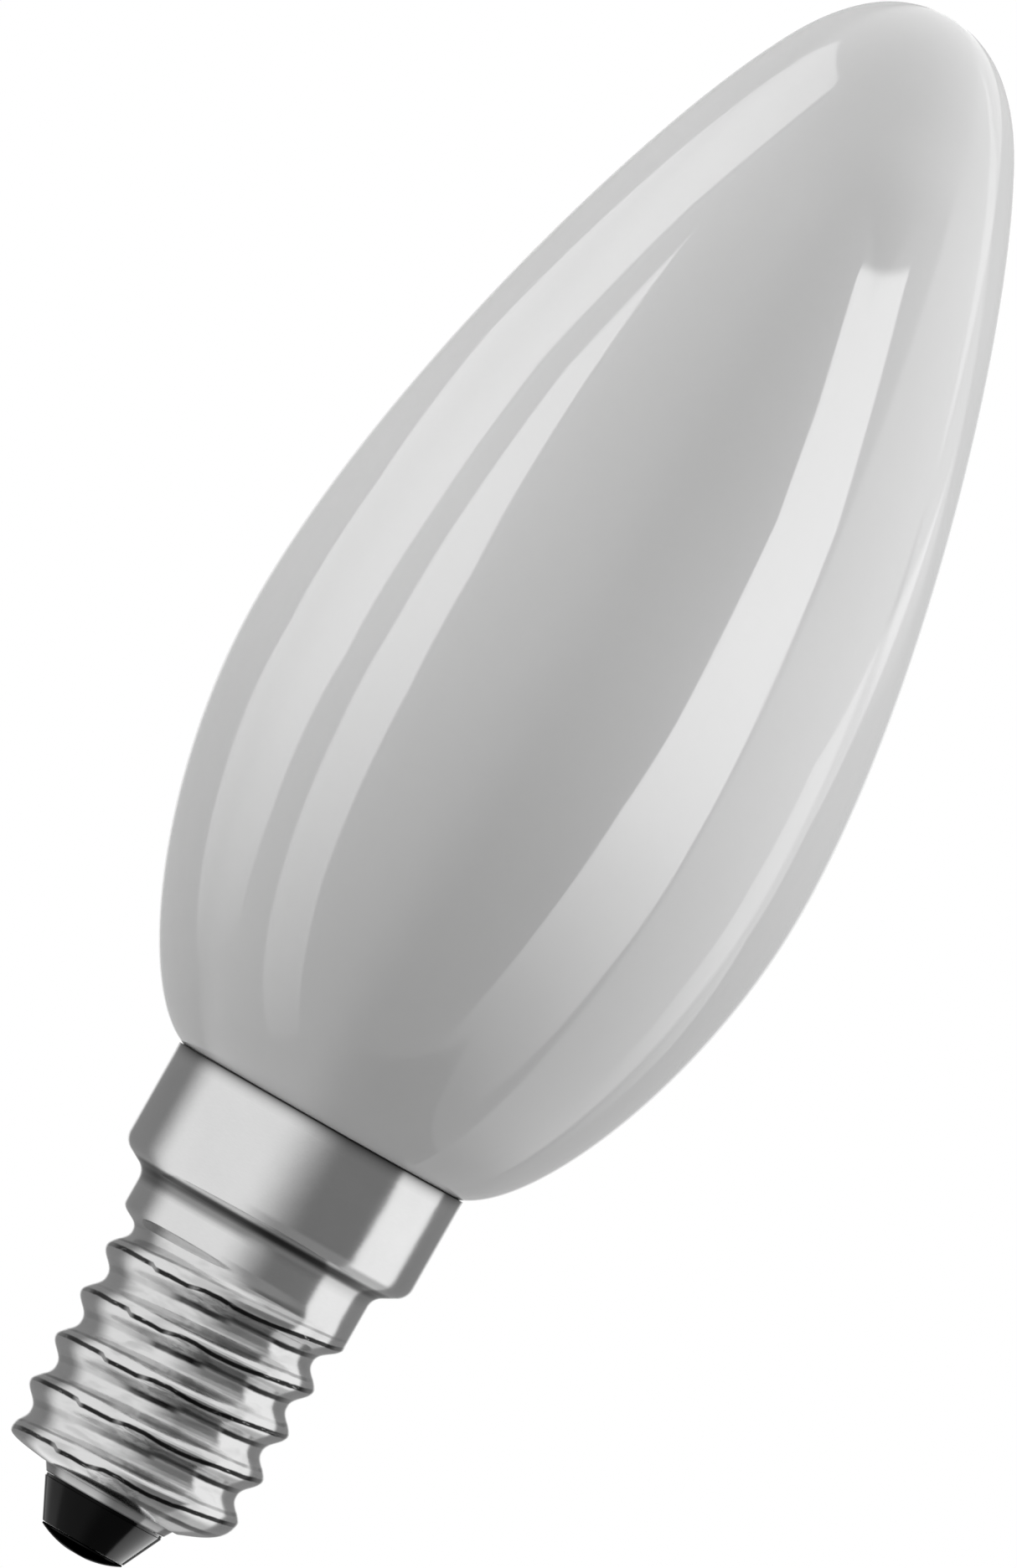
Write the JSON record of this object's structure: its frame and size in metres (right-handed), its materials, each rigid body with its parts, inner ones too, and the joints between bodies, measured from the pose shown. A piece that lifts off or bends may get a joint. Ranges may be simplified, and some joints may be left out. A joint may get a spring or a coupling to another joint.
{
  "type": "LED light bulb",
  "caption": "Candle-shaped LED light bulb with an opal glass bulb, a 14 mm screw cap with a wide skirt, a black insulator and a domed centre contact",
  "frame": {"origin": "the middle of the centre contact's flat face, the lowest point of the lamp", "axes": "+Z is the lamp's axis, from the contact up through the cap to the tip of the glass; at -X the thread's top groove starts to fade into the plain band"},
  "size_m": [0.0346, 0.0346, 0.097],
  "materials": {
    "opal_glass": "opal glass, milky inside and polished outside",
    "nickel_cap": "nickel-plated pressed sheet, satin",
    "black_insulator": "black insulating glass, polished",
    "tinned_contact": "tinned contact metal, darkened"
  },
  "bodies": {
    "root": {"glass_bulb": "opal_glass", "screw_cap": "nickel_cap", "insulator": "black_insulator", "centre_contact": "tinned_contact"}
  },
  "joints": []
}
